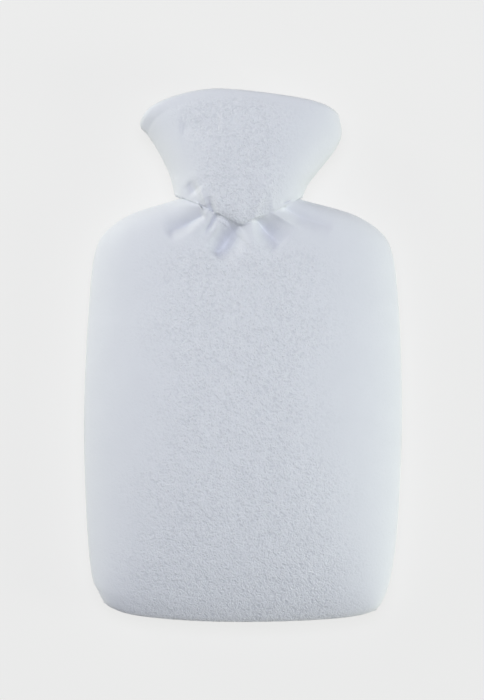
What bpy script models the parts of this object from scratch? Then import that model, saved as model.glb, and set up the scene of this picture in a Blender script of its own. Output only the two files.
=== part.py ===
"""A fleece cover for a hot water bottle, lying on its back in the shape that a filled bottle gives it.

Metres, +Z up. The origin is on the surface it rests on, under the middle of the cover. +X is to the right and
+Y runs from the bottom seam to the collar. Two panels, front and back, meet along one seam that runs down both
sides and round the bottom. Each panel is cut in one with its half of the collar and is gathered at the neck.
"""

import math
from collections import namedtuple

import bmesh
import bpy
import numpy as np

MM = 0.001

# Driving sizes, in metres.
FLEECE_THICKNESS = 2.2 * MM
SEAM_GAP = 0.3 * MM
REST_BLEND = 1.5 * MM
HEM_LAYERS = 1.7
HEM_STATIONS = 0.7

# The front's section has a flat middle and two flanks, which meet on soft hips: a higher sharpness makes them
# sharper. The back's section is an ellipse at 0.5, and fuller towards the seam at less.
FRONT_HEIGHT = 28.6
HIP_SHARPNESS = 2.5
FRONT_SECTION_POWER = 2.6
SMALLEST_SHARE = 1e-6
BACK_FULLNESS = 0.34

# Faces across each panel, and between two stations along the cover.
FRONT_ACROSS, BACK_ACROSS = 26, 16
FACES_PER_STATION = 3

FLEECE_COLOUR = (0.62, 0.66, 0.73, 1.0)
FLEECE_ROUGHNESS = 0.95

# Where the seam runs, station by station from the middle of the bottom corners to the rim, in millimetres.
SeamStation = namedtuple("SeamStation", "x_left y_left x_right y_right z")
SEAM = [
    SeamStation(-87.2, -156.8, 83.6, -161.6, 20.0),
    SeamStation(-89.0, -153.4, 87.6, -156.8, 20.0),
    SeamStation(-91.7, -148.4, 90.6, -151.0, 20.0),
    SeamStation(-95.0, -141.0, 93.6, -141.0, 20.0),
    SeamStation(-97.3, -123.0, 96.9, -120.0, 20.0),
    SeamStation(-99.2, -92.0, 99.2, -90.0, 20.0),
    SeamStation(-100.4, -46.0, 100.9, -46.0, 20.0),
    SeamStation(-99.2, -2.0, 100.4, -2.0, 20.0),
    SeamStation(-96.8, 36.0, 98.4, 37.0, 20.0),
    SeamStation(-94.0, 62.0, 95.2, 63.0, 20.5),
    SeamStation(-87.6, 76.8, 88.2, 77.0, 21.0),
    SeamStation(-70.5, 88.8, 70.2, 88.6, 22.0),
    SeamStation(-41.0, 98.0, 38.0, 97.6, 23.0),
    SeamStation(-42.5, 100.2, 38.2, 99.6, 23.0),
    SeamStation(-43.5, 103.4, 39.4, 103.2, 23.0),
    SeamStation(-44.5, 108.2, 42.0, 108.2, 23.0),
    SeamStation(-47.7, 117.4, 48.4, 116.4, 23.0),
    SeamStation(-54.7, 130.6, 58.2, 128.8, 23.0),
    SeamStation(-60.4, 138.6, 62.8, 139.4, 23.0),
    SeamStation(-65.4, 144.0, 60.4, 151.0, 23.0),
]

# The middle of the front at the same stations, in millimetres. A row of cloth bows from the seam to here: sway
# moves its middle sideways, power shapes its bow, and corner is the share of the bow kept for its ends. A lower
# full makes the section fuller. over_y and over_z move the row where the collar hangs over the neck.
FrontMiddle = namedtuple("FrontMiddle", "y z sway power corner full over_y over_z")
FRONT_MIDDLE = [
    FrontMiddle(-168.2, 20.0, 0.0, 2.0, 0.50, 0.74, 0.0, 0.0),
    FrontMiddle(-167.2, 25.4, 0.0, 2.0, 0.50, 0.74, 0.0, 0.0),
    FrontMiddle(-162.0, 29.8, 0.0, 2.0, 0.45, 0.74, 0.0, 0.0),
    FrontMiddle(-150.0, 35.4, 0.0, 2.0, 0.30, 0.74, 0.0, 0.0),
    FrontMiddle(-127.0, 41.8, 0.0, 2.0, 0.10, 0.74, 0.0, 0.0),
    FrontMiddle(-93.0, 46.6, 0.0, 2.0, 0.00, 0.74, 0.0, 0.0),
    FrontMiddle(-48.0, 48.6, 0.0, 2.0, 0.00, 0.74, 0.0, 0.0),
    FrontMiddle(-6.0, 48.0, 0.0, 2.0, 0.00, 0.74, 0.0, 0.0),
    FrontMiddle(30.0, 46.2, 0.0, 2.0, 0.00, 0.74, 0.0, 0.0),
    FrontMiddle(52.0, 44.4, 0.0, 2.0, 0.00, 0.74, 0.0, 0.0),
    FrontMiddle(66.0, 43.4, 1.0, 1.9, 0.00, 0.72, 0.0, 0.0),
    FrontMiddle(75.0, 42.8, 2.0, 1.7, 0.00, 0.68, 0.0, 0.0),
    FrontMiddle(82.0, 43.0, 3.0, 1.45, 0.00, 0.66, 2.5, -2.0),
    FrontMiddle(84.0, 44.2, 4.0, 1.35, 0.00, 0.66, -4.6, -1.0),
    FrontMiddle(86.6, 45.4, 3.0, 1.35, 0.00, 0.68, -4.2, 0.5),
    FrontMiddle(94.0, 46.8, 1.0, 1.5, 0.00, 0.70, -2.0, 0.5),
    FrontMiddle(112.0, 48.0, 0.0, 2.0, 0.00, 0.72, 0.0, 0.0),
    FrontMiddle(138.0, 46.6, -4.0, 2.1, 0.10, 0.70, 0.0, 0.0),
    FrontMiddle(156.0, 43.0, -9.0, 1.9, 0.20, 0.66, 0.0, 0.0),
    FrontMiddle(166.4, 39.0, -13.0, 1.65, 0.30, 0.60, 0.0, 0.0),
]

# The middle of the back at the same stations.
BackMiddle = namedtuple("BackMiddle", "y z sway power corner")
BACK_MIDDLE = [
    BackMiddle(-168.2, 20.0, 0.0, 2.0, 0.50),
    BackMiddle(-167.0, 11.0, 0.0, 2.0, 0.50),
    BackMiddle(-161.0, 4.5, 0.0, 2.0, 0.45),
    BackMiddle(-149.0, -1.0, 0.0, 2.0, 0.30),
    BackMiddle(-127.0, -4.0, 0.0, 2.0, 0.10),
    BackMiddle(-93.0, -5.0, 0.0, 2.0, 0.00),
    BackMiddle(-48.0, -5.0, 0.0, 2.0, 0.00),
    BackMiddle(-6.0, -5.0, 0.0, 2.0, 0.00),
    BackMiddle(30.0, -4.0, 0.0, 2.0, 0.00),
    BackMiddle(55.0, -1.0, 0.0, 2.0, 0.00),
    BackMiddle(70.0, 2.0, 0.0, 2.0, 0.00),
    BackMiddle(81.0, 4.6, 0.0, 2.0, 0.00),
    BackMiddle(91.0, 7.4, 0.0, 2.0, 0.00),
    BackMiddle(95.0, 5.6, 0.0, 2.0, 0.00),
    BackMiddle(99.5, 4.5, 0.0, 2.0, 0.00),
    BackMiddle(106.0, 3.4, 0.0, 2.0, 0.00),
    BackMiddle(119.0, 3.0, 0.0, 2.0, 0.00),
    BackMiddle(139.0, 4.0, 0.0, 2.2, 0.10),
    BackMiddle(156.0, 6.0, 0.0, 2.4, 0.25),
    BackMiddle(165.0, 8.0, 0.0, 2.5, 0.35),
]
NECK_STATION = 12
CORNER_POWER = 10

# How much the collar hangs over the neck, from the left of the neck to the right, in millimetres.
Overhang = namedtuple("Overhang", "x share")
OVERHANG = [
    Overhang(-41.0, 0.0),
    Overhang(-32.0, 0.0),
    Overhang(-26.0, 0.20),
    Overhang(-20.0, 0.40),
    Overhang(-15.5, 0.25),
    Overhang(-11.0, 0.75),
    Overhang(-4.0, 1.00),
    Overhang(1.0, 0.80),
    Overhang(4.0, 0.10),
    Overhang(6.0, 0.0),
]
HANG_STATIONS = 4

# The main gathers of the front, in millimetres. Each is a soft trough, or a ridge where its depth is negative,
# along a line that starts at the neck. right and left are its half widths on the two sides of the line, as seen
# by someone who walks out along it.
FoldPoint = namedtuple("FoldPoint", "x y right left depth")
SHOULDER_FOLDS = {
    "deep wedge": [
        FoldPoint(-3.0, 82.0, 6.0, 5.8, 6.0),
        FoldPoint(-8.6, 73.4, 5.4, 4.9, 10.0),
        FoldPoint(-11.8, 67.8, 5.0, 5.0, 9.0),
        FoldPoint(-15.8, 63.0, 4.8, 4.2, 6.0),
    ],
    "right wedge": [
        FoldPoint(11.6, 83.6, 2.0, 2.4, 4.6),
        FoldPoint(16.2, 78.4, 3.0, 4.2, 6.4),
        FoldPoint(22.0, 73.4, 4.2, 5.8, 4.6),
        FoldPoint(27.8, 69.0, 4.8, 6.4, 1.8),
    ],
    "right dent": [
        FoldPoint(28.0, 92.4, 2.4, 2.6, 2.0),
        FoldPoint(35.0, 88.4, 4.2, 4.2, 2.8),
        FoldPoint(52.0, 81.4, 4.6, 4.6, 1.0),
    ],
    "left band": [
        FoldPoint(-25.4, 89.0, 2.8, 1.8, 4.6),
        FoldPoint(-35.0, 85.4, 4.2, 2.2, 5.0),
        FoldPoint(-44.5, 80.6, 4.8, 2.8, 2.6),
    ],
    "left ridge": [
        FoldPoint(-21.6, 89.0, 2.6, 2.0, -2.0),
        FoldPoint(-29.0, 80.0, 4.4, 4.4, -2.0),
        FoldPoint(-42.0, 68.0, 8.0, 9.0, -0.5),
    ],
    "middle ridge": [
        FoldPoint(7.0, 89.0, 3.0, 3.2, -1.0),
        FoldPoint(6.8, 80.0, 4.4, 5.0, -1.8),
        FoldPoint(6.0, 68.0, 8.0, 9.0, -1.6),
        FoldPoint(4.0, 52.0, 13.0, 14.0, -0.4),
    ],
}
COLLAR_FOLDS = {
    "neck crease": [
        FoldPoint(-28.6, 95.0, 2.2, 2.2, 3.0),
        FoldPoint(-36.4, 105.2, 2.6, 2.6, 2.4),
    ],
    "neck ridge": [
        FoldPoint(-24.0, 91.6, 2.4, 2.4, -2.0),
        FoldPoint(-33.0, 112.0, 3.8, 3.2, -0.5),
    ],
    "right flank": [
        FoldPoint(7.0, 84.0, 3.2, 3.2, -1.4),
        FoldPoint(11.0, 96.0, 3.4, 4.4, -1.4),
        FoldPoint(19.0, 118.0, 6.0, 7.0, -0.4),
    ],
    "rim dent": [
        FoldPoint(-50.0, 142.0, 5.5, 5.5, 1.6),
        FoldPoint(-28.0, 141.0, 6.0, 6.0, 1.2),
    ],
}
FOLD_END_FADE = 2.2
FOLD_EDGE = 1.6

# The even gathers of the back.
BACK_PLEATS = 9
BACK_PLEAT_DEPTH = 1.3
BACK_PLEAT_REACH = 2.0


def along(values, station):
    """The smooth value at a fractional station, by a cubic through the table's rows."""
    values = np.asarray(values, float)
    slopes = np.gradient(values)
    first = np.clip(np.floor(station).astype(int), 0, len(values) - 2)
    f = station - first
    start, end = values[first], values[first + 1]
    leave, arrive = slopes[first], slopes[first + 1]
    rise = f * f * (3 - 2 * f)
    return start + (end - start) * rise + leave * f * (1 - f) ** 2 - arrive * f * f * (1 - f)


def column(table, name, station):
    return along([getattr(row, name) for row in table], station)


def smooth_step(x):
    x = np.clip(x, 0, 1)
    return x * x * (3 - 2 * x)


def fold_press(line, x, y):
    """How deep one fold presses the cloth at a place, in millimetres."""
    nearest = np.full(x.shape, np.inf)
    press = np.zeros(x.shape)
    for start, end in zip(line, line[1:]):
        run_x, run_y = end.x - start.x, end.y - start.y
        length = math.hypot(run_x, run_y)
        ahead = ((x - start.x) * run_x + (y - start.y) * run_y) / length
        aside = ((x - start.x) * run_y - (y - start.y) * run_x) / length
        share = np.clip(ahead / length, 0, 1)
        right = start.right + (end.right - start.right) * share
        left = start.left + (end.left - start.left) * share
        depth = start.depth + (end.depth - start.depth) * share
        past = np.abs(ahead - share * length)
        here = depth * np.exp(-(np.abs(aside / np.where(aside > 0, right, left)) ** FOLD_EDGE))
        here = here * np.exp(-((past / FOLD_END_FADE) ** 2))
        away = np.hypot(aside, past)
        press = np.where(away < nearest, here, press)
        nearest = np.minimum(away, nearest)
    return press


def row_place(middle, side, station):
    """Where a point lies in plan, and its row's bow: side is -1 at the left seam and 1 at the right one."""
    left, right = column(SEAM, "x_left", station), column(SEAM, "x_right", station)
    y_left, y_right = column(SEAM, "y_left", station), column(SEAM, "y_right", station)
    sway = column(middle, "sway", station)
    x = (left + right) / 2 + side * (right - left) / 2 + sway * (1 - side * side)
    y_seam = np.where(side < 0, y_left, y_right)
    reach = np.abs(side)
    corner = column(middle, "corner", station)
    bow = (1 - corner) * reach ** column(middle, "power", station) + corner * reach**CORNER_POWER
    y_middle = column(middle, "y", station)
    return x, y_middle + (y_seam - y_middle) * bow, bow


def front_place(side, station):
    x, y, bow = row_place(FRONT_MIDDLE, side, station)
    hang = np.interp(x, [row.x for row in OVERHANG], [row.share for row in OVERHANG])
    hang = hang * (np.abs(station - NECK_STATION) < HANG_STATIONS)
    y = y + hang * (1 - bow) * column(FRONT_MIDDLE, "over_y", station)
    seam_z = column(SEAM, "z", station)
    crown = column(FRONT_MIDDLE, "z", station) - seam_z + hang * column(FRONT_MIDDLE, "over_z", station)
    swell = np.maximum(1 - np.abs(side) ** FRONT_SECTION_POWER, 0) ** column(FRONT_MIDDLE, "full", station)
    across = np.maximum(swell, SMALLEST_SHARE) ** -HIP_SHARPNESS
    lengthwise = np.maximum(crown / FRONT_HEIGHT, SMALLEST_SHARE) ** -HIP_SHARPNESS
    rise = FRONT_HEIGHT * (across + lengthwise - 1) ** (-1 / HIP_SHARPNESS)
    on_collar = smooth_step(station - NECK_STATION)
    press = sum(fold_press(fold, x, y) for fold in SHOULDER_FOLDS.values()) * (1 - on_collar)
    press += sum(fold_press(fold, x, y) for fold in COLLAR_FOLDS.values()) * on_collar
    return x, y, seam_z + rise - press * swell + SEAM_GAP / MM / 2


def back_place(side, station):
    x, y, _ = row_place(BACK_MIDDLE, side, station)
    seam_z = column(SEAM, "z", station)
    depth = seam_z - column(BACK_MIDDLE, "z", station)
    swell = np.maximum(1 - side * side, 0) ** BACK_FULLNESS
    near_neck = np.exp(-(((station - NECK_STATION) / BACK_PLEAT_REACH) ** 2))
    pleat = BACK_PLEAT_DEPTH * near_neck * np.cos(BACK_PLEATS * math.pi * side)
    z = seam_z - depth * swell + pleat * swell
    # The part that would sink below the surface lies flat on it.
    blend = REST_BLEND / MM
    eased = (np.clip(z, -blend, blend) + blend) ** 2 / (4 * blend)
    return x, y, np.minimum(np.where(z > blend, z, eased), seam_z - SEAM_GAP / MM / 2)


def fleece():
    material = bpy.data.materials.new("fleece")
    material.use_nodes = True
    shader = material.node_tree.nodes["Principled BSDF"]
    shader.inputs["Base Color"].default_value = FLEECE_COLOUR
    shader.inputs["Roughness"].default_value = FLEECE_ROUGHNESS
    shader.inputs["Metallic"].default_value = 0.0
    return material


def make_panel(name, place, across, up, collection):
    """A grid from seam to seam and from the bottom to the rim, given its thickness inward.

    up is 1 for the panel whose outer side faces up and -1 for the other.
    """
    mesh = bpy.data.meshes.new(name)
    bm = bmesh.new()
    rows = FACES_PER_STATION * (len(SEAM) - 1)
    bmesh.ops.create_grid(bm, x_segments=across, y_segments=rows, size=1)
    side = np.sin([vertex.co.x * math.pi / 2 for vertex in bm.verts])
    station = np.array([(vertex.co.y + 1) / 2 * (len(SEAM) - 1) for vertex in bm.verts])
    for vertex, point in zip(bm.verts, np.column_stack(place(side, station)) * MM):
        vertex.co = point
    if up < 0:
        bmesh.ops.reverse_faces(bm, faces=bm.faces)
    bm.to_mesh(mesh)
    bm.free()
    panel = bpy.data.objects.new(name, mesh)
    collection.objects.link(panel)
    thickness = panel.modifiers.new("thickness", "SOLIDIFY")
    thickness.thickness = FLEECE_THICKNESS
    thickness.offset = -1
    solid = bpy.data.meshes.new_from_object(panel.evaluated_get(bpy.context.evaluated_depsgraph_get()))
    panel.modifiers.remove(thickness)
    panel.data = solid
    bpy.data.meshes.remove(mesh)
    # The inner side's points follow the outer side's, in the same order. The hem is turned in once, which
    # doubles the cloth at the rim. The inner side stops level with the seam, clear of the other panel.
    seam_z = column(SEAM, "z", station) * MM + up * SEAM_GAP / 2
    layers = np.where(station > len(SEAM) - 1 - HEM_STATIONS, HEM_LAYERS, 1.0)
    inner = solid.vertices[len(side) :]
    for outside, inside, level, count in zip(solid.vertices[: len(side)], inner, seam_z, layers):
        inside.co = outside.co + (inside.co - outside.co) * count
        inside.co.z = up * max(up * inside.co.z, up * level)
    solid.name = name
    solid.materials.append(fleece())
    solid.shade_smooth()
    return panel


for old in list(bpy.data.objects):
    bpy.data.objects.remove(old, do_unlink=True)

cover = bpy.data.collections.new("hot water bottle cover")
bpy.context.scene.collection.children.link(cover)
make_panel("front_panel", front_place, FRONT_ACROSS, 1, cover)
make_panel("back_panel", back_place, BACK_ACROSS, -1, cover)
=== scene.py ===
import math
from collections import namedtuple

import bpy
import numpy as np
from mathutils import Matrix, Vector


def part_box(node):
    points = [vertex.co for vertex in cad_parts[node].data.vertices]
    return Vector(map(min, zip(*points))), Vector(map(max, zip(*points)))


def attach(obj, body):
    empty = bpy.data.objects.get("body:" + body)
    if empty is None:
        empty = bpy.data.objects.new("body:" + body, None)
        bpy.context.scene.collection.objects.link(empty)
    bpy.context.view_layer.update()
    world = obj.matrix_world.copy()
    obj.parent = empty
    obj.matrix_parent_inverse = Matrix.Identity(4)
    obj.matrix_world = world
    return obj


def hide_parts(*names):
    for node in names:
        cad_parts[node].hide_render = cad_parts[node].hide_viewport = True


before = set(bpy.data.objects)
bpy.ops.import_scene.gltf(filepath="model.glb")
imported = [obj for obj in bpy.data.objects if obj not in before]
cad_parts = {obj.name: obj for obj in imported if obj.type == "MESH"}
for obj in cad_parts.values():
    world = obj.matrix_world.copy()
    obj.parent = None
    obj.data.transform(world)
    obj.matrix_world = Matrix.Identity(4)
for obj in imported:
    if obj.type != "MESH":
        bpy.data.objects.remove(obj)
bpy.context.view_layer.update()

# --------------------------------------------------------------------------------------------------
# Front panel. One cut of nubby polyester fleece, with the front half of the collar in one with it. It
# is sewn to the back panel round the sides and the bottom, right sides together, and turned out. It is
# gathered at the neck, so folds run out from there, and its top edge is turned in once as a hem.

front_low, front_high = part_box("front_panel")
# The panel's own length and the place of its bottom edge in the tables below, in millimetres.
PANEL_LENGTH, BOTTOM_STATION_Y = 334.6, -168.2
MM = (front_high.y - front_low.y) / PANEL_LENGTH
BOTTOM_Y = front_low.y

# The seam, station by station from the middle of the bottom corners to the rim, in millimetres.
SeamStation = namedtuple("SeamStation", "x_left y_left x_right y_right z")
SEAM = [
    SeamStation(-87.2, -156.8, 83.6, -161.6, 20.0),
    SeamStation(-89.0, -153.4, 87.6, -156.8, 20.0),
    SeamStation(-91.7, -148.4, 90.6, -151.0, 20.0),
    SeamStation(-95.0, -141.0, 93.6, -141.0, 20.0),
    SeamStation(-97.3, -123.0, 96.9, -120.0, 20.0),
    SeamStation(-99.2, -92.0, 99.2, -90.0, 20.0),
    SeamStation(-100.4, -46.0, 100.9, -46.0, 20.0),
    SeamStation(-99.2, -2.0, 100.4, -2.0, 20.0),
    SeamStation(-96.8, 36.0, 98.4, 37.0, 20.0),
    SeamStation(-94.0, 62.0, 95.2, 63.0, 20.5),
    SeamStation(-87.6, 76.8, 88.2, 77.0, 21.0),
    SeamStation(-70.5, 88.8, 70.2, 88.6, 22.0),
    SeamStation(-41.0, 98.0, 38.0, 97.6, 23.0),
    SeamStation(-42.5, 100.2, 38.2, 99.6, 23.0),
    SeamStation(-43.5, 103.4, 39.4, 103.2, 23.0),
    SeamStation(-44.5, 108.2, 42.0, 108.2, 23.0),
    SeamStation(-47.7, 117.4, 48.4, 116.4, 23.0),
    SeamStation(-54.7, 130.6, 58.2, 128.8, 23.0),
    SeamStation(-60.4, 138.6, 62.8, 139.4, 23.0),
    SeamStation(-65.6, 143.6, 60.8, 152.4, 23.0),
]
LAST_STATION = len(SEAM) - 1
WIDEST_STATION, NECK_STATION = 6.0, 12

# The middle of the front at the same stations, with sway its shift to the right. power and corner shape
# how a row of cloth bows from the seam to the middle, and full says how its section swells: under 0.5 is
# fuller than an ellipse. over_y and over_z are how far a row moves where the collar hangs over the neck.
FrontMiddle = namedtuple("FrontMiddle", "y z sway power corner full over_y over_z")
FRONT_MIDDLE = [
    FrontMiddle(-168.2, 20.0, 0.0, 2.0, 0.50, 0.74, 0.0, 0.0),
    FrontMiddle(-167.2, 25.4, 0.0, 2.0, 0.50, 0.74, 0.0, 0.0),
    FrontMiddle(-162.0, 29.8, 0.0, 2.0, 0.45, 0.74, 0.0, 0.0),
    FrontMiddle(-150.0, 35.4, 0.0, 2.0, 0.30, 0.74, 0.0, 0.0),
    FrontMiddle(-127.0, 41.8, 0.0, 2.0, 0.10, 0.74, 0.0, 0.0),
    FrontMiddle(-93.0, 46.6, 0.0, 2.0, 0.00, 0.74, 0.0, 0.0),
    FrontMiddle(-48.0, 48.6, 0.0, 2.0, 0.00, 0.74, 0.0, 0.0),
    FrontMiddle(-6.0, 48.0, 0.0, 2.0, 0.00, 0.74, 0.0, 0.0),
    FrontMiddle(30.0, 46.2, 0.0, 2.0, 0.00, 0.74, 0.0, 0.0),
    FrontMiddle(52.0, 44.4, 0.0, 2.0, 0.00, 0.74, 0.0, 0.0),
    FrontMiddle(66.0, 43.4, 1.0, 1.9, 0.00, 0.72, 0.0, 0.0),
    FrontMiddle(75.0, 42.8, 2.0, 1.7, 0.00, 0.64, 0.0, 0.0),
    FrontMiddle(82.0, 43.4, 3.0, 1.45, 0.00, 0.54, -2.2, -0.9),
    FrontMiddle(84.0, 44.2, 4.0, 1.35, 0.00, 0.56, -3.4, -0.6),
    FrontMiddle(86.6, 45.2, 3.0, 1.35, 0.00, 0.61, -3.0, 0.2),
    FrontMiddle(94.0, 46.8, 1.0, 1.5, 0.00, 0.66, -1.8, 0.4),
    FrontMiddle(112.0, 48.0, 0.0, 2.0, 0.00, 0.72, 0.0, 0.0),
    FrontMiddle(138.0, 46.6, -4.0, 2.1, 0.10, 0.70, 0.0, 0.0),
    FrontMiddle(156.0, 43.0, -9.0, 1.9, 0.20, 0.66, 0.0, 0.0),
    FrontMiddle(166.4, 39.0, -13.0, 1.65, 0.30, 0.60, 0.0, 0.0),
]
# The panel's middle and its flanks meet on soft hips: the higher this is, the sharper they are.
FRONT_HEIGHT, HIP_SHARPNESS, SECTION_POWER = 28.6, 2.5, 2.6
CORNER_SHARPNESS = 10
SMALLEST_SHARE, SMALLEST_LENGTH = 1e-6, 1e-9

# How much the collar hangs over the neck, from left to right, and how many stations away that ends.
Overhang = namedtuple("Overhang", "x share")
OVERHANG = [
    Overhang(-32.0, 0.0),
    Overhang(-24.0, 0.15),
    Overhang(-19.0, 0.40),
    Overhang(-14.0, 0.30),
    Overhang(-9.0, 0.60),
    Overhang(-4.0, 1.00),
    Overhang(0.0, 0.90),
    Overhang(3.5, 0.30),
    Overhang(6.5, 0.0),
]
HANG_STATIONS = 4

# The gathers, in millimetres: each is a soft trough, or a ridge where its depth is negative, along a line
# that starts at the neck. right and left are its half widths on the two hands of someone who walks out
# along it.
FoldPoint = namedtuple("FoldPoint", "x y right left depth")
SHOULDER_FOLDS = {
    "deep wedge": [
        FoldPoint(-2.0, 79.4, 3.6, 4.6, 3.0),
        FoldPoint(-5.4, 76.8, 6.2, 7.0, 7.4),
        FoldPoint(-8.4, 72.6, 7.0, 7.2, 10.4),
        FoldPoint(-11.8, 67.6, 7.2, 6.4, 11.2),
        FoldPoint(-15.6, 63.8, 6.6, 5.0, 8.4),
    ],
    "right wedge": [
        FoldPoint(9.0, 83.4, 2.6, 2.8, 5.0),
        FoldPoint(12.4, 79.0, 3.8, 5.6, 8.0),
        FoldPoint(17.6, 73.6, 5.0, 7.4, 7.4),
        FoldPoint(22.4, 69.0, 5.6, 7.4, 4.4),
    ],
    "right ridge": [
        FoldPoint(16.0, 90.0, 2.8, 2.8, -1.6),
        FoldPoint(24.0, 85.0, 2.2, 2.2, -2.2),
        FoldPoint(33.0, 80.0, 1.8, 1.8, -1.2),
    ],
    "right dent": [
        FoldPoint(27.0, 90.6, 2.8, 2.8, 3.6),
        FoldPoint(35.0, 86.2, 5.0, 5.0, 5.8),
        FoldPoint(44.0, 82.8, 5.4, 5.2, 4.8),
        FoldPoint(52.0, 79.6, 4.8, 4.8, 2.0),
    ],
    "left band": [
        FoldPoint(-25.4, 86.0, 3.4, 2.6, 4.6),
        FoldPoint(-35.0, 80.8, 5.2, 3.8, 7.0),
        FoldPoint(-44.5, 77.2, 5.8, 4.4, 4.4),
    ],
    "left crease": [
        FoldPoint(-17.0, 85.6, 1.6, 1.6, 3.0),
        FoldPoint(-19.6, 81.2, 1.8, 1.8, 2.8),
        FoldPoint(-22.6, 77.0, 1.8, 1.8, 1.6),
    ],
    "left knuckle": [
        FoldPoint(-15.4, 82.0, 2.2, 2.0, -0.8),
        FoldPoint(-17.0, 78.0, 2.2, 2.0, -1.8),
        FoldPoint(-20.6, 70.0, 3.2, 3.0, -0.8),
    ],
    "left ridge": [
        FoldPoint(-21.6, 89.0, 2.6, 2.0, -2.0),
        FoldPoint(-29.0, 80.0, 4.4, 4.4, -2.0),
        FoldPoint(-42.0, 68.0, 8.0, 9.0, -0.5),
    ],
    "left neck ridge": [
        FoldPoint(-24.0, 91.8, 1.8, 2.4, -1.6),
        FoldPoint(-33.0, 93.4, 2.8, 3.4, -2.6),
        FoldPoint(-39.5, 95.8, 2.4, 3.4, -2.6),
    ],
    "middle ridge": [
        FoldPoint(7.0, 89.0, 3.0, 3.2, -1.0),
        FoldPoint(6.8, 80.0, 4.4, 5.0, -1.8),
        FoldPoint(6.0, 68.0, 8.0, 9.0, -1.6),
        FoldPoint(4.0, 52.0, 13.0, 14.0, -0.4),
    ],
}
COLLAR_FOLDS = {
    "neck crease": [
        FoldPoint(-28.0, 99.6, 3.0, 3.2, 0.8),
        FoldPoint(-29.8, 102.0, 4.0, 3.8, 4.6),
        FoldPoint(-32.0, 105.0, 3.8, 3.8, 2.6),
    ],
    "left bulge": [
        FoldPoint(-38.0, 98.5, 2.6, 2.8, -1.6),
        FoldPoint(-40.6, 102.6, 2.8, 3.0, -3.0),
        FoldPoint(-42.4, 108.6, 2.8, 2.8, -2.0),
    ],
    "neck ridge": [
        FoldPoint(-23.0, 94.0, 1.8, 1.8, -1.6),
        FoldPoint(-26.0, 103.0, 2.4, 2.4, -1.4),
        FoldPoint(-29.0, 112.0, 3.8, 3.2, -0.5),
    ],
    "small hole": [
        FoldPoint(-18.8, 88.8, 1.8, 1.9, 3.2),
        FoldPoint(-20.6, 95.6, 2.4, 2.4, 1.0),
    ],
    "knuckle": [
        FoldPoint(-14.8, 84.0, 2.6, 2.6, -2.4),
        FoldPoint(-14.4, 97.0, 3.4, 3.4, -0.6),
    ],
    "right flank": [
        FoldPoint(7.0, 84.0, 3.2, 3.2, -1.4),
        FoldPoint(11.0, 96.0, 3.4, 4.4, -1.4),
        FoldPoint(19.0, 118.0, 6.0, 7.0, -0.4),
    ],
    "right flank ridge": [
        FoldPoint(24.0, 85.0, 2.8, 2.8, -1.2),
        FoldPoint(19.0, 91.0, 3.2, 3.2, -1.2),
        FoldPoint(17.0, 104.0, 4.0, 4.0, -0.4),
    ],
    "right fold": [
        FoldPoint(27.0, 95.0, 1.0, 1.2, 2.0),
        FoldPoint(38.0, 98.2, 1.0, 1.2, 3.0),
    ],
    "rim dent": [
        FoldPoint(-36.0, 141.0, 6.0, 6.0, 2.0),
        FoldPoint(-16.0, 143.0, 6.0, 6.0, 1.0),
    ],
    "rim nick": [
        FoldPoint(-6.0, 168.0, 0.9, 0.9, 0.5),
        FoldPoint(-6.0, 163.5, 0.9, 0.9, 0.4),
    ],
    "right rim dent": [
        FoldPoint(41.5, 158.0, 1.0, 1.0, 0.5),
        FoldPoint(42.5, 152.5, 1.0, 1.0, 0.4),
    ],
}
# How far a fold runs on past its ends, and how sharp its bottom is: 2 is round and 1 is a crease.
FOLD_FADE, FOLD_EDGE = 2.2, 1.45

# The sheet, its seam and its hem, in millimetres. The seam puckers, at a pitch that drifts along it.
FLEECE_THICKNESS = 1.7
SEAM_HALF_GAP = 0.15
SEAM_ROLL_DEPTH, SEAM_ROLL_REACH = 1.0, 1.4
PUCKER_DEPTH, PUCKER_PITCH, PUCKER_REACH = 0.35, 9.0, 6.0
PUCKER_DRIFT, PUCKER_DRIFT_RUN = 1.7, 23.0
HEM_DEPTH, HEM_EXTRA, HEM_STEP = 8.0, 1.3, 2.0
HEM_LINE_DEPTH, HEM_LINE_WIDTH = 0.2, 1.4
RIM_ROLL_DEPTH, RIM_ROLL_REACH = 1.3, 1.3
ROLL_EDGE = 1.5

# Where the pile stands up, as a share of half the panel's width, and how that edge wanders along the
# panel. It is wider towards the bottom. Lengths are in millimetres.
PILE_FLAT_SHARE = 0.08
PILE_HALF_WIDTH, PILE_LOW_EXTRA, PILE_EDGE, PILE_SWAY = 0.26, 0.30, 0.46, 0.03
PILE_LOW_FROM, PILE_LOW_RUN = 20.0, 140.0
PILE_WAVES = ((0.05, 17.0), (0.04, 7.3))
PILE_RIM_FROM, PILE_RIM_RUN = 4.0, 10.0
PILE_SHOULDER_LOSS, PILE_SHOULDER_FROM, PILE_SHOULDER_RUN = 0.85, 58.0, 16.0

# Faces of the outer side, and how many of them one face of the hidden inner side spans.
FRONT_ACROSS, FRONT_ALONG, INNER_STEP = 256, 356, 4
# How many places a line is measured at, the line that spaces the rows of faces, and how much closer
# they stand at the neck, for the gathers.
PROBES, ROW_LINE_SIDE = 1200, -0.1
NECK_CLOSER, NECK_CLOSER_REACH = 1.6, 1.2


def along(values, station):
    """The smooth value at a fractional station, by a cubic through the table's rows."""
    values = np.asarray(values, float)
    slopes = np.gradient(values)
    first = np.clip(np.floor(station).astype(int), 0, len(values) - 2)
    f = station - first
    start, end = values[first], values[first + 1]
    leave, arrive = slopes[first], slopes[first + 1]
    rise = f * f * (3 - 2 * f)
    return start + (end - start) * rise + leave * f * (1 - f) ** 2 - arrive * f * f * (1 - f)


def column(table, name, station):
    return along([getattr(row, name) for row in table], station)


def smooth_step(x):
    x = np.clip(x, 0, 1)
    return x * x * (3 - 2 * x)


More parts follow.
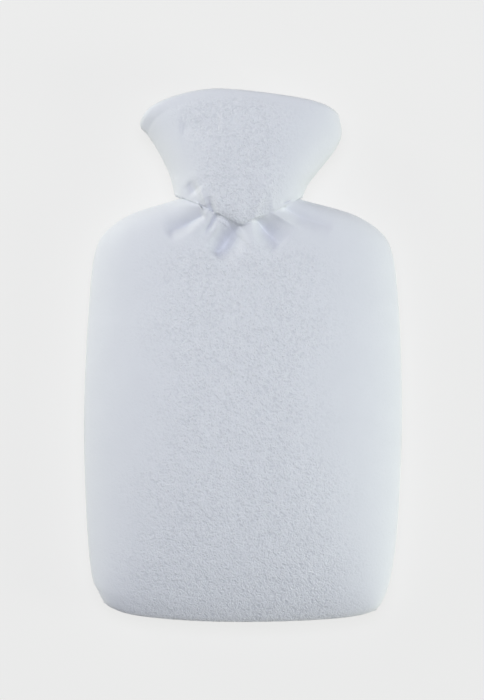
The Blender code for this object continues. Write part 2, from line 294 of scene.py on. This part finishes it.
def fold_press(line, x, y):
    """How deep one fold presses the cloth at a place, in millimetres."""
    nearest = np.full(x.shape, np.inf)
    press = np.zeros(x.shape)
    for start, end in zip(line, line[1:]):
        run_x, run_y = end.x - start.x, end.y - start.y
        length = math.hypot(run_x, run_y)
        ahead = ((x - start.x) * run_x + (y - start.y) * run_y) / length
        aside = ((x - start.x) * run_y - (y - start.y) * run_x) / length
        share = np.clip(ahead / length, 0, 1)
        right = start.right + (end.right - start.right) * share
        left = start.left + (end.left - start.left) * share
        depth = start.depth + (end.depth - start.depth) * share
        past = np.abs(ahead - share * length)
        here = depth * np.exp(-(np.abs(aside / np.where(aside > 0, right, left)) ** FOLD_EDGE))
        here = here * np.exp(-((past / FOLD_FADE) ** 2))
        away = np.hypot(aside, past)
        press = np.where(away < nearest, here, press)
        nearest = np.minimum(away, nearest)
    return press


def row_place(middle, side, station):
    """Where a point lies in plan: side is -1 at the left seam and 1 at the right one."""
    left, right = column(SEAM, "x_left", station), column(SEAM, "x_right", station)
    y_seam = np.where(side < 0, column(SEAM, "y_left", station), column(SEAM, "y_right", station))
    x = (left + right) / 2 + side * (right - left) / 2
    x = x + column(middle, "sway", station) * (1 - side * side)
    corner = column(middle, "corner", station)
    reach = np.abs(side)
    bow = (1 - corner) * reach ** column(middle, "power", station) + corner * reach**CORNER_SHARPNESS
    return x, y_seam, bow


def front_form(side, station):
    """The front's outer side, in millimetres, before the seam, the hem and the nap."""
    x, y_seam, bow = row_place(FRONT_MIDDLE, side, station)
    hang = np.interp(x, [row.x for row in OVERHANG], [row.share for row in OVERHANG])
    hang = hang * (np.abs(station - NECK_STATION) < HANG_STATIONS)
    y_middle = column(FRONT_MIDDLE, "y", station)
    y = y_middle + (y_seam - y_middle) * bow
    y = y + hang * (1 - bow) * column(FRONT_MIDDLE, "over_y", station)
    seam_z = column(SEAM, "z", station)
    swell = np.maximum(1 - np.abs(side) ** SECTION_POWER, 0) ** column(FRONT_MIDDLE, "full", station)
    crown = column(FRONT_MIDDLE, "z", station) - seam_z + hang * column(FRONT_MIDDLE, "over_z", station)
    on_collar = smooth_step(station - NECK_STATION)
    press = sum(fold_press(fold, x, y) for fold in SHOULDER_FOLDS.values()) * (1 - on_collar)
    press += sum(fold_press(fold, x, y) for fold in COLLAR_FOLDS.values()) * on_collar
    across = np.maximum(swell, SMALLEST_SHARE) ** -HIP_SHARPNESS
    lengthwise = np.maximum(crown / FRONT_HEIGHT, SMALLEST_SHARE) ** -HIP_SHARPNESS
    rise = FRONT_HEIGHT * (across + lengthwise - 1) ** (-1 / HIP_SHARPNESS)
    return np.stack([x, y, seam_z + rise - press * swell + SEAM_HALF_GAP], axis=-1)


def even_steps(positions, count, weight=None):
    """count + 1 parameters from the first to the last, spread evenly along a line of places."""
    steps = np.linalg.norm(np.diff(positions[1], axis=0), axis=1)
    if weight is not None:
        steps = steps * weight
    run = np.concatenate([[0], np.cumsum(steps)])
    return np.interp(np.linspace(0, run[-1], count + 1), run, positions[0])


def unit(vectors):
    lengths = np.linalg.norm(vectors, axis=-1, keepdims=True)
    return vectors / np.maximum(lengths, SMALLEST_LENGTH)


def edge_distances(outer):
    """How far each point is over the cloth from the left seam, the right one, the bottom and the rim."""
    rows, columns = outer.shape[:2]
    step_across = np.linalg.norm(np.diff(outer, axis=1), axis=-1)
    step_along = np.linalg.norm(np.diff(outer, axis=0), axis=-1)
    from_left = np.concatenate([np.zeros((rows, 1)), np.cumsum(step_across, axis=1)], axis=1)
    from_bottom = np.concatenate([np.zeros((1, columns)), np.cumsum(step_along, axis=0)], axis=0)
    return from_left, from_left[:, -1:] - from_left, from_bottom, from_bottom[-1:] - from_bottom


def pile_share(side, station, y, from_rim):
    """How high the pile stands, up to 1: it lies flatter towards the seam, the neck and the rim."""
    low_end = smooth_step(-(y + PILE_LOW_FROM) / PILE_LOW_RUN)
    worn_from = PILE_HALF_WIDTH + PILE_LOW_EXTRA * low_end**2
    for height, length in PILE_WAVES:
        worn_from = worn_from + height * np.sin(y / length)
    standing = 1 - smooth_step((np.abs(side + PILE_SWAY) - worn_from) / PILE_EDGE)
    standing *= smooth_step((from_rim - PILE_RIM_FROM) / PILE_RIM_RUN)
    shoulder = smooth_step((y - PILE_SHOULDER_FROM) / PILE_SHOULDER_RUN) * (station < NECK_STATION)
    standing *= 1 - PILE_SHOULDER_LOSS * shoulder
    return PILE_FLAT_SHARE + (1 - PILE_FLAT_SHARE) * standing


def sheet_points(form, across, lengthwise, out):
    """A panel's outer and inner sides, as grids of points in millimetres, and how high its pile stands.

    out is 1 where the outer side faces up and -1 where it faces down."""
    probe = np.linspace(0, LAST_STATION, PROBES)
    row_line = form(np.full_like(probe, ROW_LINE_SIDE), probe)
    closer = 1 + NECK_CLOSER * np.exp(-(((probe[1:] - NECK_STATION) / NECK_CLOSER_REACH) ** 2))
    stations = even_steps((probe, row_line), lengthwise, closer)
    probe = np.linspace(-math.pi / 2, math.pi / 2, PROBES)
    section = form(np.sin(probe), np.full_like(probe, WIDEST_STATION))
    sides = np.sin(even_steps((probe, section), across))
    side, station = np.meshgrid(sides, stations)
    outer = form(side, station)
    normal = unit(np.cross(np.gradient(outer, axis=1), np.gradient(outer, axis=0))) * out
    # Level normals at the seam, so that the two panels stand edge to edge.
    for edge in (np.s_[:, 0], np.s_[:, -1], np.s_[0, :]):
        normal[edge][..., 2] = 0
        normal[edge] = unit(normal[edge])
    from_left, from_right, from_bottom, from_rim = edge_distances(outer)
    from_seam = np.minimum(np.minimum(from_left, from_right), from_bottom)
    run = np.where(from_bottom < np.minimum(from_left, from_right), from_left, from_bottom)
    drift = PUCKER_DRIFT * np.sin(run / PUCKER_DRIFT_RUN)
    pucker = PUCKER_DEPTH * np.sin(2 * math.pi * run / PUCKER_PITCH + drift)
    roll = SEAM_ROLL_DEPTH + pucker * np.exp(-((from_seam / PUCKER_REACH) ** 2))
    sink = roll * np.exp(-((from_seam / SEAM_ROLL_REACH) ** ROLL_EDGE))
    sink = sink + HEM_LINE_DEPTH * np.exp(-(((from_rim - HEM_DEPTH) / HEM_LINE_WIDTH) ** 2))
    sink = sink + RIM_ROLL_DEPTH * np.exp(-((from_rim / RIM_ROLL_REACH) ** ROLL_EDGE))
    layers = FLEECE_THICKNESS + HEM_EXTRA * smooth_step((HEM_DEPTH - from_rim) / HEM_STEP)
    shaped = outer - normal * sink[..., None]
    inner = outer - normal * layers[..., None]
    seam_face = out * column(SEAM, "z", station) + SEAM_HALF_GAP
    for points in (inner, shaped):
        points[..., 2] = out * np.maximum(out * points[..., 2], seam_face)
    return shaped, inner, pile_share(side, station, outer[..., 1], from_rim)


def sheet_mesh(name, shaped, inner, pile, out):
    """One closed sheet: a fine outer side, a coarse inner side and the strip that joins their edges."""
    rows, columns = shaped.shape[:2]
    coarse_rows, coarse_columns = range(0, rows, INNER_STEP), range(0, columns, INNER_STEP)
    inner = inner[np.ix_(coarse_rows, coarse_columns)]
    points = np.concatenate([shaped.reshape(-1, 3), inner.reshape(-1, 3)]) * MM
    points[:, 1] += BOTTOM_Y - BOTTOM_STATION_Y * MM
    first = rows * columns
    wide = len(coarse_columns)

    def fine(row, col):
        return row * columns + col

    def coarse(row, col):
        return first + (row // INNER_STEP) * wide + col // INNER_STEP

    faces = []
    for r in range(rows - 1):
        for c in range(columns - 1):
            faces.append([fine(r, c), fine(r, c + 1), fine(r + 1, c + 1), fine(r + 1, c)])
    step, top, right = INNER_STEP, rows - 1, columns - 1
    for r in coarse_rows[:-1]:
        for c in coarse_columns[:-1]:
            low = [coarse(r, c + step), coarse(r, c)]
            faces.append([coarse(r + step, c), coarse(r + step, c + step)] + low)
    spans = range(step + 1)
    for c in coarse_columns[:-1]:
        faces.append([fine(0, c + i) for i in reversed(spans)] + [coarse(0, c), coarse(0, c + step)])
        faces.append([fine(top, c + i) for i in spans] + [coarse(top, c + step), coarse(top, c)])
    for r in coarse_rows[:-1]:
        faces.append([fine(r + i, 0) for i in spans] + [coarse(r + step, 0), coarse(r, 0)])
        inside = [coarse(r, right), coarse(r + step, right)]
        faces.append([fine(r + i, right) for i in reversed(spans)] + inside)
    if out < 0:
        faces = [face[::-1] for face in faces]
    mesh = bpy.data.meshes.new(name)
    mesh.from_pydata(points.tolist(), [], faces)
    on_inner = np.zeros(len(points) - first)
    standing = mesh.attributes.new("pile", "FLOAT", "POINT")
    standing.data.foreach_set("value", np.concatenate([pile.ravel(), on_inner]))
    mesh.validate()
    mesh.shade_smooth()
    return mesh


# The nap: low curls, finer and closer than the folds, made the same way on both panels, in metres. A curl
# stands along each line where the noise crosses its middle, and the sharper it is, the narrower.
NAP_HEIGHT, NAP_SIZE, NAP_SEED, NAP_SHARPNESS = 0.00012, 0.0044, 3.0, 7.0
NOISE_MIDDLE = 0.5


def math_node(tree, operation, *values):
    """The output of a new math node, with each of its inputs a number or another node's output."""
    node = tree.nodes.new("ShaderNodeMath")
    node.operation = operation
    for socket, value in zip(node.inputs, values):
        if isinstance(value, (int, float)):
            socket.default_value = value
        else:
            tree.links.new(value, socket)
    return node.outputs[0]


def curl_lines(tree, noise, sharpness):
    away = math_node(tree, "ABSOLUTE", math_node(tree, "SUBTRACT", noise, NOISE_MIDDLE))
    return math_node(tree, "MAXIMUM", math_node(tree, "MULTIPLY_ADD", away, -sharpness, 1.0), 0.0)


def nap_tree():
    """Lifts the outer side of a panel into the low curls of the fleece."""
    tree = bpy.data.node_groups.new("fleece nap", "GeometryNodeTree")
    tree.interface.new_socket("Geometry", in_out="INPUT", socket_type="NodeSocketGeometry")
    for name in ("Curl Height", "Curl Size", "Seed"):
        tree.interface.new_socket(name, in_out="INPUT", socket_type="NodeSocketFloat")
    tree.interface.new_socket("Material", in_out="INPUT", socket_type="NodeSocketMaterial")
    tree.interface.new_socket("Geometry", in_out="OUTPUT", socket_type="NodeSocketGeometry")
    nodes, link = tree.nodes, tree.links.new
    given, result = nodes.new("NodeGroupInput"), nodes.new("NodeGroupOutput")

    noise = nodes.new("ShaderNodeTexNoise")
    noise.noise_dimensions = "4D"
    noise.inputs["Detail"].default_value = 0.0
    link(nodes.new("GeometryNodeInputPosition").outputs[0], noise.inputs["Vector"])
    link(math_node(tree, "DIVIDE", 1.0, given.outputs["Curl Size"]), noise.inputs["Scale"])
    link(given.outputs["Seed"], noise.inputs["W"])
    curl = curl_lines(tree, noise.outputs[0], NAP_SHARPNESS)
    pile = nodes.new("GeometryNodeInputNamedAttribute")
    pile.data_type = "FLOAT"
    pile.inputs["Name"].default_value = "pile"
    lift = math_node(tree, "MULTIPLY", curl, given.outputs["Curl Height"])
    lift = math_node(tree, "MULTIPLY", lift, pile.outputs[0])
    offset = nodes.new("ShaderNodeVectorMath")
    offset.operation = "SCALE"
    link(nodes.new("GeometryNodeInputNormal").outputs[0], offset.inputs[0])
    link(lift, offset.inputs["Scale"])
    moved = nodes.new("GeometryNodeSetPosition")
    link(given.outputs["Geometry"], moved.inputs["Geometry"])
    link(offset.outputs[0], moved.inputs["Offset"])
    realized = nodes.new("GeometryNodeRealizeInstances")
    painted = nodes.new("GeometryNodeSetMaterial")
    link(moved.outputs[0], realized.inputs[0])
    link(realized.outputs[0], painted.inputs[0])
    link(given.outputs["Material"], painted.inputs["Material"])
    link(painted.outputs[0], result.inputs[0])
    return tree


def run_tree(piece, tree, settings):
    """Runs a node tree on a piece and leaves the plain mesh that it makes."""
    modifier = piece.modifiers.new(tree.name, "NODES")
    modifier.node_group = tree
    inputs = [item for item in tree.interface.items_tree if item.in_out == "INPUT"]
    for item in inputs:
        if item.name in settings:
            modifier[item.identifier] = settings[item.name]
    graph = bpy.context.evaluated_depsgraph_get()
    made = bpy.data.meshes.new_from_object(piece.evaluated_get(graph))
    piece.modifiers.remove(modifier)
    piece.data = made
    made.shade_smooth()


# The pile's fine relief, which mixes curled lines, tufts and single fibres, and its tone, which follows
# that relief as painted shade, darker in the gaps between curls, and also clouds over patches of several
# curls. Its roughness falls a little where a curl stands.
LINE_SHARPNESS, LINE_SHARE = 6.0, 0.45
TUFT_DETAIL, TUFT_SWIRL, TUFT_SHARE, TUFT_BASE = 0.5, 0.9, 1.6, 0.25
FIBRE_DETAIL, FIBRE_SHARE = 1.0, 0.15
CLOUD_SIZE, CLOUD_DETAIL, CLOUD_SHARE = 9.0, 1.0, 0.3
FLAT_TONE, CURL_SHEEN = 0.5, 0.12


def pile_group():
    """The look of the pile: pale curls over gaps darkened as painted shade, with a faint cloudy
    unevenness.
    """
    group = bpy.data.node_groups.new("fleece pile", "ShaderNodeTree")
    for name, kind in (
        ("Curl", "NodeSocketColor"),
        ("Gap Shade", "NodeSocketColor"),
        ("Curl Size", "NodeSocketFloat"),
        ("Fibre Size", "NodeSocketFloat"),
        ("Seed", "NodeSocketFloat"),
    ):
        group.interface.new_socket(name, in_out="INPUT", socket_type=kind)
    for name, kind in (
        ("Colour", "NodeSocketColor"),
        ("Roughness", "NodeSocketFloat"),
        ("Height", "NodeSocketFloat"),
    ):
        group.interface.new_socket(name, in_out="OUTPUT", socket_type=kind)
    nodes, link = group.nodes, group.links.new
    given, result = nodes.new("NodeGroupInput"), nodes.new("NodeGroupOutput")
    place = nodes.new("ShaderNodeTexCoord").outputs["Object"]
    standing = nodes.new("ShaderNodeAttribute")
    standing.attribute_name = "pile"

    def noise(size, detail, swirl):
        node = nodes.new("ShaderNodeTexNoise")
        node.noise_dimensions = "4D"
        node.inputs["Detail"].default_value = detail
        node.inputs["Distortion"].default_value = swirl
        link(place, node.inputs["Vector"])
        link(given.outputs["Seed"], node.inputs["W"])
        link(math_node(group, "DIVIDE", 1.0, size), node.inputs["Scale"])
        return node.outputs[0]

    curl_size, fibre_size = given.outputs["Curl Size"], given.outputs["Fibre Size"]
    tufts = math_node(group, "SUBTRACT", noise(curl_size, TUFT_DETAIL, TUFT_SWIRL), NOISE_MIDDLE)
    tufts = math_node(group, "MULTIPLY_ADD", tufts, TUFT_SHARE, TUFT_BASE)
    lines = curl_lines(group, noise(curl_size, 0.0, 0.0), LINE_SHARPNESS)
    height = math_node(group, "MULTIPLY_ADD", lines, LINE_SHARE, tufts)
    fibres = noise(fibre_size, FIBRE_DETAIL, 0.0)
    height = math_node(group, "MULTIPLY_ADD", fibres, FIBRE_SHARE, height)
    height = math_node(group, "MULTIPLY", height, standing.outputs["Fac"])
    flat = math_node(group, "SUBTRACT", 1.0, standing.outputs["Fac"])
    even = math_node(group, "MULTIPLY_ADD", flat, FLAT_TONE, height)
    cloudy = noise(math_node(group, "MULTIPLY", curl_size, CLOUD_SIZE), CLOUD_DETAIL, 0.0)
    cloudy = math_node(group, "SUBTRACT", cloudy, NOISE_MIDDLE)
    shade_and_cloud = math_node(group, "MULTIPLY_ADD", cloudy, CLOUD_SHARE, even)
    # Painted shade: the colour runs from the curl colour down to the darker gap colour where the relief
    # is low.
    mix = nodes.new("ShaderNodeMix")
    mix.data_type = "RGBA"
    mix.clamp_factor = True
    link(shade_and_cloud, mix.inputs["Factor"])
    link(given.outputs["Gap Shade"], mix.inputs["A"])
    link(given.outputs["Curl"], mix.inputs["B"])
    link(mix.outputs["Result"], result.inputs["Colour"])
    link(math_node(group, "MULTIPLY_ADD", height, -CURL_SHEEN, 1.0), result.inputs["Roughness"])
    link(height, result.inputs["Height"])
    return group


# Pale ice-blue polyester fleece, matt, with a faint sheen. Sizes are in metres.
FLEECE_CURL = (0.84, 0.862, 0.905, 1.0)
# The gap colour is painted shade: the fleece's own pale blue, darkened for the gaps between curls as if
# they lay in shade.
FLEECE_GAP_SHADE = (0.73, 0.752, 0.80, 1.0)
FLEECE_SHEEN, FLEECE_SHEEN_ROUGHNESS, FLEECE_SPECULAR = 0.25, 0.55, 0.2
PILE_RELIEF, CURL_SIZE, FIBRE_SIZE = 0.00036, 0.0017, 0.0009

fleece = bpy.data.materials.new("fleece")
fleece.use_nodes = True
nodes, link = fleece.node_tree.nodes, fleece.node_tree.links.new
shader = nodes["Principled BSDF"]
shader.inputs["Sheen Weight"].default_value = FLEECE_SHEEN
shader.inputs["Sheen Roughness"].default_value = FLEECE_SHEEN_ROUGHNESS
shader.inputs["Specular IOR Level"].default_value = FLEECE_SPECULAR
pile = nodes.new("ShaderNodeGroup")
pile.node_tree = pile_group()
pile.inputs["Curl"].default_value = FLEECE_CURL
pile.inputs["Gap Shade"].default_value = FLEECE_GAP_SHADE
pile.inputs["Curl Size"].default_value = CURL_SIZE
pile.inputs["Fibre Size"].default_value = FIBRE_SIZE
pile.inputs["Seed"].default_value = NAP_SEED
bump = nodes.new("ShaderNodeBump")
bump.inputs["Distance"].default_value = PILE_RELIEF
link(pile.outputs["Colour"], shader.inputs["Base Color"])
link(pile.outputs["Roughness"], shader.inputs["Roughness"])
link(pile.outputs["Height"], bump.inputs["Height"])
link(bump.outputs["Normal"], shader.inputs["Normal"])

fleece_nap = nap_tree()


def make_panel(name, form, across, lengthwise, out):
    """A finished panel: its sheet with the nap raised and the fleece material on it."""
    mesh = sheet_mesh(name, *sheet_points(form, across, lengthwise, out), out)
    panel = bpy.data.objects.new(name, mesh)
    bpy.context.scene.collection.objects.link(panel)
    nap = {"Curl Height": NAP_HEIGHT, "Curl Size": NAP_SIZE, "Seed": NAP_SEED, "Material": fleece}
    run_tree(panel, fleece_nap, nap)
    # The curls under the cover are pressed flat by what it lies on.
    for vertex in panel.data.vertices:
        vertex.co.z = max(vertex.co.z, 0)
    return panel


front = make_panel("front_fleece", front_form, FRONT_ACROSS, FRONT_ALONG, 1)
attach(front, "root")
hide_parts("front_panel")

# --------------------------------------------------------------------------------------------------
# Back panel. The same cut of fleece as the front, sewn to it round the sides and the bottom. The cover
# lies on it, so it is flat in the middle, and its gathers at the neck are small and even.

# The middle of the back at the seam's stations, in millimetres, as on the front. What lies under zero is
# pressed flat on what the cover rests on, over a soft edge.
BackMiddle = namedtuple("BackMiddle", "y z sway power corner")
BACK_MIDDLE = [
    BackMiddle(-168.2, 20.0, 0.0, 2.0, 0.50),
    BackMiddle(-167.0, 11.0, 0.0, 2.0, 0.50),
    BackMiddle(-161.0, 4.5, 0.0, 2.0, 0.45),
    BackMiddle(-149.0, -1.0, 0.0, 2.0, 0.30),
    BackMiddle(-127.0, -4.0, 0.0, 2.0, 0.10),
    BackMiddle(-93.0, -5.0, 0.0, 2.0, 0.00),
    BackMiddle(-48.0, -5.0, 0.0, 2.0, 0.00),
    BackMiddle(-6.0, -5.0, 0.0, 2.0, 0.00),
    BackMiddle(30.0, -4.0, 0.0, 2.0, 0.00),
    BackMiddle(55.0, -1.0, 0.0, 2.0, 0.00),
    BackMiddle(70.0, 2.0, 0.0, 2.0, 0.00),
    BackMiddle(81.0, 4.6, 0.0, 2.0, 0.00),
    BackMiddle(91.0, 7.4, 0.0, 2.0, 0.00),
    BackMiddle(95.0, 5.6, 0.0, 2.0, 0.00),
    BackMiddle(99.5, 4.5, 0.0, 2.0, 0.00),
    BackMiddle(106.0, 3.4, 0.0, 2.0, 0.00),
    BackMiddle(119.0, 3.0, 0.0, 2.0, 0.00),
    BackMiddle(139.0, 4.0, 0.0, 2.2, 0.10),
    BackMiddle(156.0, 6.0, 0.0, 2.4, 0.25),
    BackMiddle(165.0, 8.0, 0.0, 2.5, 0.35),
]
BACK_FULLNESS, REST_BLEND = 0.34, 1.5

# The back's pleats, over a reach in stations from the neck, a little uneven in depth and in place.
BACK_PLEATS, BACK_PLEAT_DEPTH, BACK_PLEAT_REACH = 11, 1.6, 1.8
PLEAT_UNEVEN, PLEAT_UNEVEN_RATE, PLEAT_UNEVEN_START = 0.3, 5.3, 1.1
PLEAT_DRIFT, PLEAT_DRIFT_RATE = 0.8, 4
BACK_ACROSS, BACK_ALONG = 220, 340


def back_form(side, station):
    """The back's outer side, in millimetres, before the seam, the hem and the nap."""
    x, y_seam, bow = row_place(BACK_MIDDLE, side, station)
    y_middle = column(BACK_MIDDLE, "y", station)
    seam_z = column(SEAM, "z", station)
    swell = np.maximum(1 - side * side, 0) ** BACK_FULLNESS
    near_neck = np.exp(-(((station - NECK_STATION) / BACK_PLEAT_REACH) ** 2))
    uneven = 1 + PLEAT_UNEVEN * np.sin(PLEAT_UNEVEN_RATE * side + PLEAT_UNEVEN_START)
    drift = PLEAT_DRIFT * np.sin(PLEAT_DRIFT_RATE * side)
    pleat = BACK_PLEAT_DEPTH * near_neck * uneven * np.cos(BACK_PLEATS * math.pi * side + drift)
    z = seam_z - (seam_z - column(BACK_MIDDLE, "z", station)) * swell + pleat * swell
    eased = (np.clip(z, -REST_BLEND, REST_BLEND) + REST_BLEND) ** 2 / (4 * REST_BLEND)
    z = np.minimum(np.where(z > REST_BLEND, z, eased), seam_z - SEAM_HALF_GAP)
    return np.stack([x, y_middle + (y_seam - y_middle) * bow, z], axis=-1)


back = make_panel("back_fleece", back_form, BACK_ACROSS, BACK_ALONG, -1)
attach(back, "root")
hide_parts("back_panel")

# --------------------------------------------------------------------------------------------------
# Floor, light and camera. A plain pale floor that glows a little by itself, a large soft box overhead
# towards the collar end, and low soft boxes at the left, the right and the upper left. The camera looks
# straight down on the front.

FLOOR_SIZE = 12.0
FLOOR_GREY = (0.16, 0.16, 0.16, 1.0)
FLOOR_GLOW, FLOOR_GLOW_STRENGTH = (1.0, 1.0, 0.99, 1.0), 0.71
FLOOR_ROUGHNESS = 0.9

half = FLOOR_SIZE / 2
floor_corners = [(-half, -half, 0), (half, -half, 0), (half, half, 0), (-half, half, 0)]
floor_mesh = bpy.data.meshes.new("floor")
floor_mesh.from_pydata(floor_corners, [], [(0, 1, 2, 3)])
floor = bpy.data.objects.new("floor", floor_mesh)
bpy.context.scene.collection.objects.link(floor)
floor_paint = bpy.data.materials.new("floor paint")
floor_paint.use_nodes = True
floor_shader = floor_paint.node_tree.nodes["Principled BSDF"]
floor_shader.inputs["Base Color"].default_value = FLOOR_GREY
floor_shader.inputs["Roughness"].default_value = FLOOR_ROUGHNESS
floor_shader.inputs["Specular IOR Level"].default_value = 0.0
floor_shader.inputs["Emission Color"].default_value = FLOOR_GLOW
floor_shader.inputs["Emission Strength"].default_value = FLOOR_GLOW_STRENGTH
floor_mesh.materials.append(floor_paint)

# Each soft box faces the middle of the cover. Its place and its sides are in metres.
SoftBox = namedtuple("SoftBox", "place width height watts colour")
SOFT_BOXES = {
    "overhead box": SoftBox((0.0, 0.42, 2.2), 1.2, 1.2, 32.0, (0.885, 0.90, 1.0)),
    "left box": SoftBox((-1.2, 0.1, 0.22), 0.4, 1.0, 3.9, (0.93, 1.0, 0.88)),
    "right box": SoftBox((1.2, -0.25, 0.22), 0.4, 1.0, 11.4, (0.95, 1.0, 0.87)),
    "upper left box": SoftBox((-1.0, 0.7, 0.22), 0.4, 0.8, 6.1, (1.0, 0.98, 0.86)),
}
for name, box in SOFT_BOXES.items():
    light = bpy.data.lights.new(name, "AREA")
    light.shape = "RECTANGLE"
    light.size, light.size_y = box.width, box.height
    light.energy = box.watts
    light.color = box.colour
    lamp = bpy.data.objects.new(name, light)
    lamp.location = box.place
    lamp.rotation_euler = (-Vector(box.place)).to_track_quat("-Z", "Y").to_euler()
    lamp.visible_camera = False
    bpy.context.scene.collection.objects.link(lamp)

AIR_COLOUR, AIR_STRENGTH = (0.80, 0.83, 0.92, 1.0), 0.02
world = bpy.data.worlds.new("studio air")
world.use_nodes = True
air = world.node_tree.nodes["Background"]
air.inputs["Color"].default_value = AIR_COLOUR
air.inputs["Strength"].default_value = AIR_STRENGTH
bpy.context.scene.world = world
bpy.context.scene.view_settings.view_transform = "Standard"

# The lens and its sensor are in millimetres, and the rest is in metres. The camera's frame is
# FRAME_LENGTH long at the height of the seam.
LENS, SENSOR = 100.0, 36.0
FRAME_LENGTH, SEAM_HEIGHT = 0.4417, 0.020
CAMERA_X, CAMERA_Y = -0.0003, 0.0032
camera_data = bpy.data.cameras.new("camera")
camera_data.lens = LENS
camera_data.sensor_width = SENSOR
camera = bpy.data.objects.new("camera", camera_data)
camera.location = (CAMERA_X, CAMERA_Y, SEAM_HEIGHT + FRAME_LENGTH * LENS / SENSOR)
bpy.context.scene.collection.objects.link(camera)
bpy.context.scene.camera = camera
